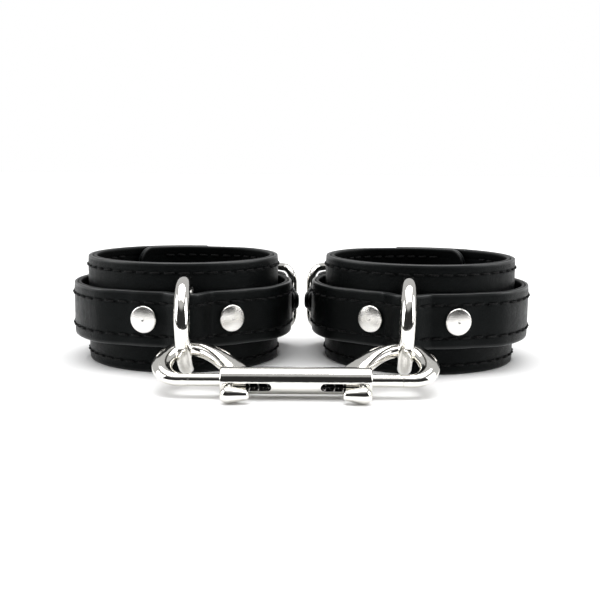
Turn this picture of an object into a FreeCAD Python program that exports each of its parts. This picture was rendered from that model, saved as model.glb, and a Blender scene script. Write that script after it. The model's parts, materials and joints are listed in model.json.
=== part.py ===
import FreeCAD, Part
import math
import os

import Sketcher

from FreeCAD import Placement, Rotation, Vector

# A pair of leather wrist cuffs joined by a double-ended bolt snap, in millimetres.
# X runs across the pair, Y from the snap to the back of the cuffs, and Z up. The origin is on the
# floor under the middle of the whole object.

DIMENSIONS = {
    # where things stand
    "frame_shift": 18.835,
    "cuff_spacing": 88.36,
    "left_cuff_turn": 8.2,
    "right_cuff_turn": 9.8,
    # the wide band
    "band_radius": 35.2,
    "band_height": 38.0,
    "band_face": 1.7,
    "band_lining": 1.5,
    "band_corner": 6.0,
    "band_overlap_gap": 0.15,
    "band_outer_end": 71.0,
    "band_inner_end": 483.5,
    # the narrow strap
    "strap_width": 19.0,
    "strap_middle": 19.0,
    "strap_layer": 1.3,
    "strap_gap": 2.5,
    "ring_bulge": 5.9,
    "bulge_turn": 13.9,
    "point_length": 11.0,
    "point_rise": 7.5,
    "layer_gap": 0.04,
    "strap_lift": 0.08,
    "wrap_gap": 0.08,
    "buckle_slack": 0.15,
    "adjusting_hole": 1.6,
    "slot_width": 3.4,
    "slot_length": 7.4,
    # the rivets
    "rivet_turn": 23.0,
    "cap_radius": 4.75,
    "cap_height": 1.7,
    "cap_shoulder": 4.3,
    "cap_crown": 0.5,
    "cap_seat": 0.04,
    "flange_seat": 0.32,
    "post_radius": 1.7,
    "post_hole": 1.75,
    "tenon_radius": 0.95,
    "tenon_length": 3.6,
    "flange_radius": 4.0,
    "flange_height": 0.8,
    # the D-ring
    "ring_wire": 2.5,
    "ring_bow": 13.6,
    "ring_bar": 38.1,
    "ring_leg": 9.7,
    "ring_corner": 3.4,
    "left_ring_turn": -0.2,
    "right_ring_turn": 3.8,
    "left_ring_swing": -6.5,
    "right_ring_swing": -7.6,
    "left_ring_lean": 2.25,
    "right_ring_lean": 2.0,
    # the buckle
    "buckle_turn": 28.0,
    "buckle_plane": 42.6,
    "buckle_wire": 1.5,
    "buckle_half_height": 11.75,
    "buckle_half_length": 11.2,
    "buckle_corner": 6.0,
    "buckle_rise": 10.4,
    "bar_radius": 1.3,
    "bar_drop": 3.2,
    "prong_radius": 1.1,
    "eye_wall": 1.0,
    "eye_gap": 0.08,
    "prong_rest": 0.12,
    # the snap
    "snap_offset": 2.3,
    "snap_back": 68.0,
    "snap_rise": 5.43,
    "arm_back": 50.0,
    "arm_rise": 11.65,
    "barrel_radius": 4.25,
    "barrel_half": 23.5,
    "barrel_lip": 0.6,
    "hook_tip": 33.3,
    "tip_gap": 0.1,
    "bolt_radius": 2.05,
    "bore_radius": 2.1,
    "bolt_inner_end": 15.5,
    "bore_end": 1.0,
    "bolt_travel": 11.5,
    "stud_place": 20.5,
    "stud_radius": 1.25,
    "screw_radius": 0.78,
    "socket_radius": 0.8,
    "slot_half_width": 1.4,
    "slot_end_gap": 0.2,
    "knob_drop": 8.3,
    "knob_fat": 2.7,
    "knob_thin": 1.7,
    "knob_length": 9.1,
    "spring_wire": 0.225,
    "spring_coils": 5.0,
}

doc = FreeCAD.newDocument("wrist_cuffs")
sheet = doc.addObject("Spreadsheet::Sheet", "Dims")
for line, (alias, number) in enumerate(DIMENSIONS.items(), start=1):
    sheet.set(f"A{line}", alias)
    sheet.set(f"B{line}", str(number))
    sheet.setAlias(f"B{line}", alias)
doc.recompute()


def dim(alias):
    return float(sheet.get(alias))


def bind(thing, **formulas):
    """Bind a thing's properties to formulas on the sheet; a double underscore stands for a dot."""
    for name, formula in formulas.items():
        thing.setExpression(name.replace("__", "."), formula)


def plane(body, role):
    return next(feature for feature in body.Origin.OriginFeatures if feature.Role == role)


def new_sketch(body, name, role):
    sketch = body.newObject("Sketcher::SketchObject", name)
    sketch.AttachmentSupport = [(plane(body, role), "")]
    sketch.MapMode = "FlatFace"
    return sketch


def line(start, end):
    return Part.LineSegment(Vector(*start, 0), Vector(*end, 0))


def arc(start, middle, end):
    return Part.Arc(Vector(*start, 0), Vector(*middle, 0), Vector(*end, 0))


def spline(points):
    curve = Part.BSplineCurve()
    curve.interpolate([Vector(x, y, 0) for x, y in points])
    return curve


def polar(radius, degrees):
    turn = math.radians(degrees)
    return radius * math.cos(turn), radius * math.sin(turn)


def smooth(amount):
    """0 below 0, 1 above 1, and an even S between them."""
    amount = min(max(amount, 0.0), 1.0)
    return amount * amount * (3 - 2 * amount)


def mirrored(point, side):
    return point[0] * side, point[1]


# ---------------------------------------------------------------- paths of the leather
# Plan views are drawn for the left cuff: X towards the other cuff, the D-ring at -Y. The right
# cuff's are their mirror images.

FRONT = -90.0


def buckle_point(along, out):
    """A point by the buckle: along the strap towards the front, and out from the frame's plane."""
    turn = math.radians(dim("buckle_turn"))
    reach = dim("buckle_plane") + out
    x = reach * math.cos(turn) + along * math.sin(turn)
    y = reach * math.sin(turn) - along * math.cos(turn)
    return x, y


def strap_radius(degrees, word):
    """The strap's middle surface where it lies round the band, bulged round the D-ring's bar."""
    from_front = abs(degrees - FRONT)
    from_ring = abs(degrees - FRONT - dim(f"{word}_ring_turn"))
    bulge = dim("ring_bulge") * math.cos(math.radians(90 * min(from_ring / dim("bulge_turn"), 1.0))) ** 2
    side = dim("strap_gap") * smooth((from_front - 31.0) / 22.0)
    return dim("band_radius") + dim("strap_layer") + dim("strap_lift") + bulge + side


def strap_drop():
    """From the tail's middle surface to the short end's, where the tail lies on it."""
    return 2 * dim("strap_layer") + dim("layer_gap") + dim("buckle_slack")


def wrap_radius():
    """The middle of the face layer where it wraps the buckle's bar."""
    return dim("bar_radius") + dim("wrap_gap") + dim("strap_layer") / 2


def tail_out(along):
    """How far the tail's middle surface is out from the frame's plane: over the bar, under the bows."""
    under = -dim("buckle_wire") - dim("strap_layer") - dim("buckle_slack")
    over = -dim("bar_drop") + wrap_radius() - dim("strap_layer") / 2 + strap_drop()
    rise = math.cos(math.radians(90 * min(abs(along) / dim("buckle_rise"), 1.0))) ** 2
    past_bow = max(along - dim("buckle_half_length"), 0.0)
    return under + (over - under) * rise - past_bow**2 / (2 * dim("band_radius"))


TAIL_END = 18.4
BUCKLE_REACH = 13.0
SHORT_REACH = 12.0


def beside_tail(stations, distance):
    """Points inside the tail by the buckle, square to it from each station along it."""
    points = [buckle_point(along, tail_out(along)) for along in stations]
    return shifted(points, -distance)


def tail_path(word):
    """The tail's middle surface, from the D-ring round the outer side and the back to its tip."""
    back = dim("buckle_turn") + math.degrees(math.atan2(BUCKLE_REACH, dim("buckle_plane") - 3)) - 360
    points = []
    start = FRONT - 4
    stop = back + 40
    count = 72
    for step in range(count + 1):
        degrees = start + (stop - start) * step / count
        points.append(polar(strap_radius(degrees, word), degrees))
    entry = buckle_point(-BUCKLE_REACH, tail_out(-BUCKLE_REACH))
    entry_radius = math.hypot(*entry)
    for step in range(1, 9):
        degrees = stop + (back - stop) * step / 9
        start_radius = strap_radius(stop, word)
        radius = start_radius + (entry_radius - start_radius) * smooth(step / 9) ** 0.9
        points.append(polar(radius, degrees))
    count = 26
    for step in range(count + 1):
        along = -BUCKLE_REACH + (TAIL_END + BUCKLE_REACH) * step / count
        points.append(buckle_point(along, tail_out(along)))
    return points


def short_path(first_along, word):
    """The short end's middle surface, from near the bar towards the front and round to the D-ring."""
    count = 9
    stations = [first_along + (SHORT_REACH - first_along) * step / count for step in range(count + 1)]
    points = beside_tail(stations, strap_drop())
    start_radius = math.hypot(*points[-1])
    first = math.degrees(math.atan2(points[-1][1], points[-1][0])) - 5
    count = 46
    for step in range(count + 1):
        degrees = first + (FRONT - 4 - first) * step / count
        near = smooth((first - degrees) / 14.0)
        radius = start_radius + (strap_radius(degrees, word) - start_radius) * near
        points.append(polar(radius, degrees))
    return points


def shifted(points, distance):
    """The path moved sideways by a distance: positive is to its left."""
    moved = []
    for place, (x, y) in enumerate(points):
        before = points[max(place - 1, 0)]
        after = points[min(place + 1, len(points) - 1)]
        dx, dy = after[0] - before[0], after[1] - before[1]
        length = math.hypot(dx, dy)
        moved.append((x - distance * dy / length, y + distance * dx / length))
    return moved


def fold_path():
    """The middle of the face layer where it folds round the buckle's bar, from the fold's end."""
    half = dim("strap_layer") / 2
    under_lining = strap_drop() + 2 * half + dim("layer_gap") + dim("buckle_slack") + half
    points = beside_tail((6.2, 8.4, 10.2, 11.6), under_lining)[::-1]
    for degrees in range(-90, 91, 20):
        turn = math.radians(degrees)
        place = -wrap_radius() * math.cos(turn), -dim("bar_drop") + wrap_radius() * math.sin(turn)
        points.append(buckle_point(*place))
    return points


def band_path():
    """The band's outer surface, from the end that lies outside to the end that lies inside."""
    outer_end, inner_end = dim("band_outer_end"), dim("band_inner_end")
    thickness = dim("band_face") + dim("band_lining")
    drop = thickness + dim("band_overlap_gap")
    under = outer_end + 360 - 4
    points = []
    count = 96
    for step in range(count + 1):
        degrees = outer_end + (inner_end - outer_end) * step / count
        radius = dim("band_radius") - drop * smooth((degrees - under + 34) / 34)
        points.append(polar(radius, degrees))
    return points


# ---------------------------------------------------------------- building blocks


def ribbon(name, path, low, high, side, bottom, width):
    """A strip of leather on edge: the path's plan view between two sideways distances, padded up."""
    body = doc.addObject("PartDesign::Body", name)
    outline = new_sketch(body, name + "_outline", "XY_Plane")
    bind(outline, AttachmentOffset__Base__z=bottom)
    near = [mirrored(point, side) for point in shifted(path, low)]
    far = [mirrored(point, side) for point in shifted(path, high)]
    outline.addGeometry(spline(near), False)
    outline.addGeometry(line(near[-1], far[-1]), False)
    outline.addGeometry(spline(list(reversed(far))), False)
    outline.addGeometry(line(far[0], near[0]), False)
    doc.recompute()
    pad = body.newObject("PartDesign::Pad", name + "_pad")
    pad.Profile = outline
    bind(pad, Length=width)
    doc.recompute()
    return body


def wire_loop(name, edges, radius, start):
    """A closed wire ring: a circle swept along a loop drawn in the body's XY plane."""
    body = doc.addObject("PartDesign::Body", name)
    path = new_sketch(body, name + "_path", "XY_Plane")
    for edge in edges:
        path.addGeometry(edge, False)
    section = new_sketch(body, name + "_section", "XZ_Plane")
    section.addGeometry(Part.Circle(Vector(start, 0, 0), Vector(0, 0, 1), dim(radius)), False)
    section.addConstraint(Sketcher.Constraint("Radius", 0, dim(radius)))
    section.setExpression("Constraints[0]", f"Dims.{radius}")
    doc.recompute()
    pipe = body.newObject("PartDesign::AdditivePipe", name + "_pipe")
    pipe.Profile = section
    pipe.Spine = (path, [f"Edge{place + 1}" for place in range(len(edges))])
    pipe.Transition = "Round corner"
    doc.recompute()
    return body


def cylinder(name, radius, height, placement):
    thing = doc.addObject("Part::Cylinder", name)
    bind(thing, Radius=radius, Height=height)
    thing.Placement = placement
    return thing


def box(name, sizes, placement):
    """A box centred on its placement."""
    thing = doc.addObject("Part::Box", name)
    thing.Length, thing.Width, thing.Height = sizes
    thing.Placement = placement * Placement(Vector(-sizes[0] / 2, -sizes[1] / 2, -sizes[2] / 2), Rotation())
    return thing


def fuse(name, things):
    joined = doc.addObject("Part::MultiFuse", name)
    joined.Shapes = things
    return joined


def cut(name, base, tool):
    result = doc.addObject("Part::Cut", name)
    result.Base = base
    result.Tool = tool
    return result


def group(name, things):
    together = doc.addObject("Part::Compound", name)
    together.Links = things
    return together


def along_axis(direction, place):
    """A placement whose Z axis points along a direction."""
    return Placement(place, Rotation(Vector(0, 0, 1), direction))


def radial(side, degrees, radius):
    """Out of the cuff at one of the rivets: Z points outwards."""
    turn = math.radians(degrees)
    outward = Vector(side * math.cos(turn), math.sin(turn), 0)
    place = outward * radius + Vector(0, 0, dim("strap_middle"))
    return along_axis(outward, place)


def at_buckle(side, along=0.0, out=0.0, up=0.0, turn=0.0):
    """By the buckle: X along the strap towards the front, Y up, Z square to the frame."""
    x, y = mirrored(buckle_point(along, out), side)
    angle = math.radians(dim("buckle_turn"))
    forward = Vector(side * math.sin(angle), -math.cos(angle), 0)
    upward = Vector(0, 0, 1)
    rotation = Rotation(forward, upward, forward.cross(upward), "XYZ")
    place = Placement(Vector(x, y, dim("strap_middle") + up), rotation)
    return place * Placement(Vector(), Rotation(Vector(0, 0, 1), turn))


def cuff_place(word, side):
    middle = Vector(-side * dim("cuff_spacing") / 2, dim("frame_shift"), 0)
    return Placement(middle, Rotation(Vector(0, 0, 1), side * dim(f"{word}_cuff_turn")))


RIVET_SIDES = (-1, 1)
nodes = {}


def keep(name, thing, placement):
    """Make a thing one of the object's pieces."""
    thing.Label = name
    thing.Placement = placement * thing.Placement
    nodes[name] = thing


# ---------------------------------------------------------------- the cuffs


def post_holes(name, side):
    tools = []
    for turn in RIVET_SIDES:
        place = radial(side, FRONT + turn * dim("rivet_turn"), dim("band_radius") - 8)
        tools.append(cylinder(f"{name}_hole", "Dims.post_hole", "16", place))
    return tools


def make_band(word, side):
    path = band_path()
    face, gap, lining = dim("band_face"), dim("layer_gap"), dim("band_lining")
    layers = {"outer": (0, face), "lining": (face + gap, face + gap + lining)}
    for layer, (low, high) in layers.items():
        name = f"{word}_band_{layer}"
        strip = ribbon(name + "_strip", path, low, high, side, "0", "Dims.band_height")
        rounded = round_inner_end(strip, name, path, side)
        keep(name, cut(name, rounded, group(name + "_holes", post_holes(name, side))), cuff_place(word, side))


def round_inner_end(strip, name, path, side):
    """Round the two corners of the band's inner end."""
    end = Vector(*mirrored(path[-1], side), dim("band_height") / 2)
    corners = []
    for place, edge in enumerate(strip.Shape.Edges, start=1):
        box_of = edge.BoundBox
        if box_of.ZLength > 0.1 or edge.Length > 3:
            continue
        if abs(edge.CenterOfMass.x - end.x) < 4 and abs(edge.CenterOfMass.y - end.y) < 4:
            corners.append((place, dim("band_corner"), dim("band_corner")))
    fillet = doc.addObject("Part::Fillet", name + "_corners")
    fillet.Base = strip
    fillet.Edges = corners
    return fillet


def point_tools(name, side):
    """Two wedges that cut the tail's tip to a point."""
    length, rise = dim("point_length"), dim("point_rise")
    slope = math.degrees(math.atan2(rise, length))
    block = 16.0
    tools = []
    for up in (-1, 1):
        start_along = TAIL_END - length
        start_up = up * dim("strap_width") / 2
        corner = at_buckle(side, start_along, tail_out(TAIL_END) + 2, start_up, -up * slope)
        shift = Placement(Vector(block / 2, up * block / 2, 0), Rotation())
        tools.append(box(f"{name}_point", (block + 2, block, 6.6), corner * shift))
    return tools


def tail_hole_tools(name, side):
    """The adjusting holes, spaced along the back of the tail."""
    tools = []
    for degrees in (60, 82, 104, 126):
        place = radial(side, degrees, dim("band_radius") + dim("strap_layer") / 2)
        tools.append(cylinder(f"{name}_punch", "Dims.adjusting_hole", "16", place))
    return tools


def make_strap(word, side):
    half = dim("strap_layer") / 2
    bottom = "Dims.strap_middle - Dims.strap_width / 2"
    tail = tail_path(word)
    face_path = fold_path() + shifted(short_path(0.0, word) + tail[1:], half)[1:]
    lining_path = shifted(short_path(4.0, word) + tail[1:], -half - dim("layer_gap"))
    width = dim("slot_width")
    axis = along_axis(Vector(0, 0, 1), at_buckle(side, 0, -dim("bar_drop"), -width / 2).Base)
    slot = [
        box("prong_slot", (dim("slot_length"), width, 4.4), at_buckle(side, -4.3, 0.0)),
        cylinder("fold_slot", "Dims.bar_radius + Dims.wrap_gap + Dims.strap_layer + 0.05", "Dims.slot_width",
                 axis),
    ]
    for layer, path in (("outer", face_path), ("lining", lining_path)):
        name = f"{word}_strap_{layer}"
        strip = ribbon(name + "_strip", path, -half, half, side, bottom, "Dims.strap_width")
        tools = post_holes(name, side) + point_tools(name, side) + tail_hole_tools(name, side) + slot
        keep(name, cut(name, strip, group(name + "_tools", tools)), cuff_place(word, side))


def make_rivets(word, side):
    caps, posts = [], []
    inner = dim("band_radius") - dim("band_face") - dim("band_lining") - dim("layer_gap") - dim("flange_seat")
    outer = dim("band_radius") + 2 * dim("strap_layer") + dim("strap_lift") + dim("cap_seat")
    for turn in RIVET_SIDES:
        degrees = FRONT + turn * dim("rivet_turn")
        base = radial(side, degrees, outer)
        cap = rivet_cap(f"{word}_cap")
        cap.Placement = base
        caps.append(cap)
        start = radial(side, degrees, inner)
        flange = cylinder("flange", "Dims.flange_radius", "Dims.flange_height", start)
        flange.Placement = start * Placement(Vector(0, 0, -dim("flange_height")), Rotation())
        shank = cylinder("shank", "Dims.post_radius", str(outer - inner - 0.02), start)
        bore = cylinder("post_bore", "Dims.tenon_radius + 0.03", "12", start)
        posts.append(cut(f"{word}_post", fuse(f"{word}_post_solid", [flange, shank]), bore))
    keep(f"{word}_rivet_caps", group(f"{word}_rivet_caps", caps), cuff_place(word, side))
    keep(f"{word}_rivet_posts", group(f"{word}_rivet_posts", posts), cuff_place(word, side))


def rivet_cap(name):
    """A domed cap with a tenon under it, turned about its own Z axis."""
    body = doc.addObject("PartDesign::Body", name)
    profile = new_sketch(body, name + "_profile", "XZ_Plane")
    radius, height, tenon = dim("cap_radius"), dim("cap_height"), dim("tenon_radius")
    long, shoulder, drop = dim("tenon_length"), dim("cap_shoulder"), dim("cap_crown")
    sphere = (shoulder**2 + drop**2) / (2 * drop)
    half_angle = math.asin(shoulder / sphere) / 2
    crown = sphere * math.sin(half_angle), height - sphere * (1 - math.cos(half_angle))
    profile.addGeometry(line((0, -long), (tenon, -long)), False)
    profile.addGeometry(line((tenon, -long), (tenon, 0)), False)
    profile.addGeometry(line((tenon, 0), (radius - 0.2, 0)), False)
    profile.addGeometry(arc((radius - 0.2, 0), (radius, 0.5), (shoulder, height - drop)), False)
    profile.addGeometry(arc((shoulder, height - drop), crown, (0, height)), False)
    profile.addGeometry(line((0, height), (0, -long)), False)
    doc.recompute()
    turned = body.newObject("PartDesign::Revolution", name + "_turned")
    turned.Profile = profile
    turned.ReferenceAxis = (profile, ["V_Axis"])
    turned.Angle = 360
    doc.recompute()
    return body


def make_ring(word, side):
    """The D-ring, drawn with X out of the cuff and Y up."""
    bow, corner, leg = dim("ring_bow"), dim("ring_corner"), dim("ring_leg")
    bend = corner * (1 - math.sqrt(0.5))
    edges = [
        line((0, 0), (0, bow - corner)),
        arc((0, bow - corner), (bend, bow - bend), (corner, bow)),
        line((corner, bow), (leg, bow)),
        arc((leg, bow), (leg + bow, 0), (leg, -bow)),
        line((leg, -bow), (corner, -bow)),
        arc((corner, -bow), (bend, -bow + bend), (0, -bow + corner)),
        line((0, -bow + corner), (0, 0)),
    ]
    ring = wire_loop(f"{word}_ring", edges, "ring_wire", 0)
    bar_turn = FRONT + dim(f"{word}_ring_turn")
    bar = Vector(*mirrored(polar(dim("ring_bar"), bar_turn), side), dim("strap_middle"))
    out = Vector(*mirrored(polar(1, bar_turn + dim(f"{word}_ring_swing")), side), 0)
    upright = Rotation(out, Vector(0, 0, 1), out.cross(Vector(0, 0, 1)), "XYZ")
    lean = Rotation(Vector(1, 0, 0), side * dim(f"{word}_ring_lean"))
    keep(f"{word}_d_ring", ring, cuff_place(word, side) * Placement(bar, upright * lean))


def make_buckle(word, side):
    """The frame, drawn with X along the strap and Y up, and its bar set in towards the cuff."""
    tall, wide, corner = dim("buckle_half_height"), dim("buckle_half_length"), dim("buckle_corner")
    bend = corner * (1 - math.sqrt(0.5))
    edges = [line((wide, 0), (wide, tall - corner))]
    edges.append(arc((wide, tall - corner), (wide - bend, tall - bend), (wide - corner, tall)))
    edges.append(line((wide - corner, tall), (corner - wide, tall)))
    edges.append(arc((corner - wide, tall), (bend - wide, tall - bend), (-wide, tall - corner)))
    edges.append(line((-wide, tall - corner), (-wide, corner - tall)))
    edges.append(arc((-wide, corner - tall), (bend - wide, bend - tall), (corner - wide, -tall)))
    edges.append(line((corner - wide, -tall), (wide - corner, -tall)))
    edges.append(arc((wide - corner, -tall), (wide - bend, bend - tall), (wide, corner - tall)))
    edges.append(line((wide, corner - tall), (wide, 0)))
    frame = wire_loop(f"{word}_frame_loop", edges, "buckle_wire", wide)
    frame.Placement = at_buckle(side)
    drop = -dim("bar_drop")
    pieces = [frame]
    bar_place = at_buckle(side, 0, drop, -tall)
    pieces.append(cylinder("bar", "Dims.bar_radius", "2 * Dims.buckle_half_height",
                           along_axis(Vector(0, 0, 1), bar_place.Base)))
    for up in (-tall, tall):
        start = at_buckle(side, 0, drop, up).Base
        outward = at_buckle(side, 0, 0, up).Base - start
        pieces.append(cylinder("lug", "Dims.bar_radius + 0.05", "Dims.bar_drop", along_axis(outward, start)))
        ball = doc.addObject("Part::Sphere", "lug_end")
        bind(ball, Radius="Dims.bar_radius + 0.05")
        ball.Placement = Placement(start, Rotation())
        pieces.append(ball)
    keep(f"{word}_buckle_frame", fuse(f"{word}_frame", pieces), cuff_place(word, side))
    make_prong(word, side)


def make_prong(word, side):
    """The tongue: an eye round the bar, and a rod through the tail that rests on the rear bow."""
    width = 2 * dim("prong_radius")
    drop = -dim("bar_drop")
    eye_place = at_buckle(side, 0, drop, -width / 2)
    upward = along_axis(Vector(0, 0, 1), eye_place.Base)
    eye = cylinder("eye", "Dims.bar_radius + Dims.eye_wall", "2 * Dims.prong_radius", upward)
    hole = cylinder("eye_hole", "Dims.bar_radius + Dims.eye_gap", "2 * Dims.prong_radius", upward)
    rest = dim("buckle_wire") + dim("prong_radius") + dim("prong_rest")
    tip = -dim("buckle_half_length") - 2.0
    route = [(-1.9, drop + 0.7), (-3.5, -0.9), (-5.2, 0.9), (-7.3, 2.3), (-9.6, rest), (tip, rest)]
    route = [at_buckle(side, along, out).Base for along, out in route]
    radius = dim("prong_radius")
    sections = []
    for place, spot in enumerate(route):
        run = route[min(place + 1, len(route) - 1)] - route[max(place - 1, 0)]
        sections.append((Placement(spot, section_turn(run, Vector(0, 0, 1))), radius, radius * 0.98))
    tongue = lofted("tongue", sections)
    end = doc.addObject("Part::Sphere", "tongue_end")
    bind(end, Radius="Dims.prong_radius * 0.97")
    end.Placement = Placement(route[-1], Rotation())
    solid = cut(f"{word}_prong", fuse(f"{word}_prong_solid", [eye, tongue, end]), hole)
    keep(f"{word}_buckle_prong", solid, cuff_place(word, side))


# ---------------------------------------------------------------- the snap
# Drawn with X along the barrel, Y towards the hooks' arms and Z square to both.


def snap_place():
    axis = Vector(-dim("snap_offset"), dim("frame_shift") - dim("snap_back"), dim("snap_rise"))
    rise = dim("arm_rise") - dim("snap_rise")
    lean = math.degrees(math.atan2(rise, dim("snap_back") - dim("arm_back")))
    return Placement(axis, Rotation(Vector(1, 0, 0), lean))


HOOK_SECTIONS = [
    # along the barrel, height above its axis, half the width and half the thickness of the section
    (33.3, 0.0, 2.1, 2.1),
    (36.4, 0.1, 2.2, 2.1),
    (39.44, 1.7, 2.8, 2.15),
    (41.73, 5.08, 3.2, 2.2),
    (42.4, 9.77, 3.4, 2.3),
    (41.25, 14.28, 3.3, 2.3),
    (39.02, 17.56, 3.0, 2.3),
    (35.6, 19.15, 2.7, 2.3),
    (31.0, 18.3, 2.9, 2.3),
    (25.9, 14.8, 3.4, 2.2),
    (21.4, 9.5, 3.8, 2.0),
    (18.1, 4.5, 3.9, 1.9),
    (17.4, 2.4, 3.9, 1.9),
]


def make_hook(side):
    """One hook: from the tip that meets the bolt, round the end, over the arm and into the barrel."""
    sections = []
    for place, (along, height, wide, thick) in enumerate(HOOK_SECTIONS):
        before = HOOK_SECTIONS[max(place - 1, 0)]
        after = HOOK_SECTIONS[min(place + 1, len(HOOK_SECTIONS) - 1)]
        run = Vector(side * (after[0] - before[0]), after[1] - before[1], 0)
        if place == 0:
            run = Vector(side, 0, 0)
        spot = Placement(Vector(side * along, height, 0), section_turn(run, Vector(0, 0, 1)))
        sections.append((spot, wide, thick))
    return lofted("hook", sections)


def section_turn(run, flat):
    """A rotation whose Z points along a run, with Y along a direction square to it."""
    run = Vector(run).normalize()
    return Rotation(flat.cross(run), flat, run, "XYZ")


def lofted(name, sections):
    """A smooth solid through elliptic sections, each a placement and two half sizes."""
    rings = []
    for placement, wide, thick in sections:
        ring = doc.addObject("Part::Ellipse", f"{name}_section")
        ring.MajorRadius = wide
        ring.MinorRadius = thick
        ring.Placement = placement
        rings.append(ring)
    loft = doc.addObject("Part::Loft", name)
    loft.Sections = rings
    loft.Solid = True
    return loft


def make_barrel():
    body = doc.addObject("PartDesign::Body", "barrel")
    profile = new_sketch(body, "barrel_profile", "XY_Plane")
    half, radius, lip = dim("barrel_half"), dim("barrel_radius"), dim("barrel_lip")
    bend = lip * (1 - math.sqrt(0.5))
    profile.addGeometry(line((-half, 0), (-half, radius - lip)), False)
    rounding = arc((-half, radius - lip), (-half + bend, radius - bend), (-half + lip, radius))
    profile.addGeometry(rounding, False)
    profile.addGeometry(line((-half + lip, radius), (half - lip, radius)), False)
    profile.addGeometry(arc((half - lip, radius), (half - bend, radius - bend), (half, radius - lip)), False)
    profile.addGeometry(line((half, radius - lip), (half, 0)), False)
    profile.addGeometry(line((half, 0), (-half, 0)), False)
    doc.recompute()
    turned = body.newObject("PartDesign::Revolution", "barrel_turned")
    turned.Profile = profile
    turned.ReferenceAxis = (profile, ["H_Axis"])
    turned.Angle = 360
    doc.recompute()
    return body


def make_snap_body():
    tools = []
    for side in (-1, 1):
        along = Vector(side, 0, 0)
        start = Vector(side * dim("bore_end"), 0, 0)
        tools.append(cylinder("bore", "Dims.bore_radius", "Dims.barrel_half", along_axis(along, start)))
        reach = dim("stud_radius") + dim("slot_end_gap")
        outer = dim("stud_place") + reach
        inner = dim("stud_place") - dim("bolt_travel") - reach
        middle = Vector(side * (outer + inner) / 2, -dim("barrel_radius"), 0)
        width = 2 * dim("slot_half_width")
        tools.append(box("slot", (outer - inner - width, 2 * dim("barrel_radius"), width),
                         Placement(middle, Rotation())))
        for end in (outer - width / 2, inner + width / 2):
            place = Vector(side * end, -2 * dim("barrel_radius"), 0)
            tools.append(cylinder("slot_end", "Dims.slot_half_width", "2 * Dims.barrel_radius",
                                  along_axis(Vector(0, 1, 0), place)))
    solid = fuse("snap_solid", [make_barrel(), make_hook(1), make_hook(-1)])
    body = cut("snap_body", solid, group("snap_tools", tools))
    keep("snap_body", body, snap_place())


def make_bolt(word, side):
    along = Vector(side, 0, 0)
    start = Vector(side * dim("bolt_inner_end"), 0, 0)
    length = "Dims.hook_tip - Dims.bolt_inner_end - Dims.tip_gap"
    rod = cylinder(f"{word}_rod", "Dims.bolt_radius", length, along_axis(along, start))
    socket = cylinder("stud_socket", "Dims.socket_radius", "2 * Dims.bolt_radius",
                      along_axis(Vector(0, -1, 0), Vector(side * dim("stud_place"), 0, 0)))
    keep(f"{word}_bolt", cut(f"{word}_bolt", rod, socket), snap_place())


def make_knob(word, side):
    """A thumb stud: its shank through the slot into the bolt, and a tear-shaped head."""
    body = doc.addObject("PartDesign::Body", f"{word}_head")
    profile = new_sketch(body, f"{word}_head_profile", "XY_Plane")
    fat, thin, length = dim("knob_fat"), dim("knob_thin"), dim("knob_length")
    reach = length - fat - thin
    slope = math.asin((fat - thin) / reach)
    fat_touch = fat * math.sin(slope), fat * math.cos(slope)
    thin_touch = reach + thin * math.sin(slope), thin * math.cos(slope)
    touch = 90 - math.degrees(slope)
    fat_middle = polar(fat, (180 + touch) / 2)
    thin_middle = polar(thin, touch / 2)
    profile.addGeometry(line((reach + thin, 0), (-fat, 0)), False)
    profile.addGeometry(arc((-fat, 0), fat_middle, fat_touch), False)
    profile.addGeometry(line(fat_touch, thin_touch), False)
    profile.addGeometry(arc(thin_touch, (reach + thin_middle[0], thin_middle[1]), (reach + thin, 0)), False)
    doc.recompute()
    turned = body.newObject("PartDesign::Revolution", f"{word}_head_turned")
    turned.Profile = profile
    turned.ReferenceAxis = (profile, ["H_Axis"])
    turned.Angle = 360
    doc.recompute()
    place = Vector(side * dim("stud_place"), -dim("knob_drop"), 0)
    facing = Rotation(Vector(0, 1, 0), 180 if side > 0 else 0)
    body.Placement = Placement(place, facing)
    down = Vector(0, -1, 0)
    shank_start = Vector(side * dim("stud_place"), -dim("bolt_radius") - 0.03, 0)
    shank = cylinder("shank", "Dims.stud_radius", "Dims.knob_drop - Dims.bolt_radius - 0.1",
                     along_axis(down, shank_start))
    screw_start = Vector(shank_start.x, -0.3, 0)
    screw = cylinder("screw", "Dims.screw_radius", "Dims.knob_drop - 0.3", along_axis(down, screw_start))
    keep(f"{word}_knob", fuse(f"{word}_knob", [body, shank, screw]), snap_place())


def make_spring(word, side):
    wire = dim("spring_wire")
    room = dim("bolt_inner_end") - dim("bore_end") - 2 * wire - 0.1
    radius = dim("bore_radius") - wire - 0.12
    helix = doc.addObject("Part::Helix", f"{word}_coil_line")
    helix.Pitch = room / dim("spring_coils")
    helix.Height = room
    helix.Radius = radius
    section = doc.addObject("Part::Circle", f"{word}_coil_section")
    bind(section, Radius="Dims.spring_wire")
    section.Placement = Placement(Vector(radius, 0, 0), Rotation(Vector(1, 0, 0), 90))
    coil = doc.addObject("Part::Sweep", f"{word}_coil")
    coil.Sections = [section]
    coil.Spine = (helix, ["Edge1"])
    coil.Solid = True
    coil.Frenet = True
    start = Vector(side * (dim("bore_end") + wire + 0.05), 0, 0)
    keep(f"{word}_spring", coil, snap_place() * along_axis(Vector(side, 0, 0), start))


# ---------------------------------------------------------------- the whole object

for word, side in (("left", 1), ("right", -1)):
    make_band(word, side)
    make_strap(word, side)
    make_rivets(word, side)
    make_ring(word, side)
    make_buckle(word, side)
make_snap_body()
for word, side in (("left", -1), ("right", 1)):
    make_bolt(word, side)
    make_knob(word, side)
    make_spring(word, side)
doc.recompute()

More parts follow.
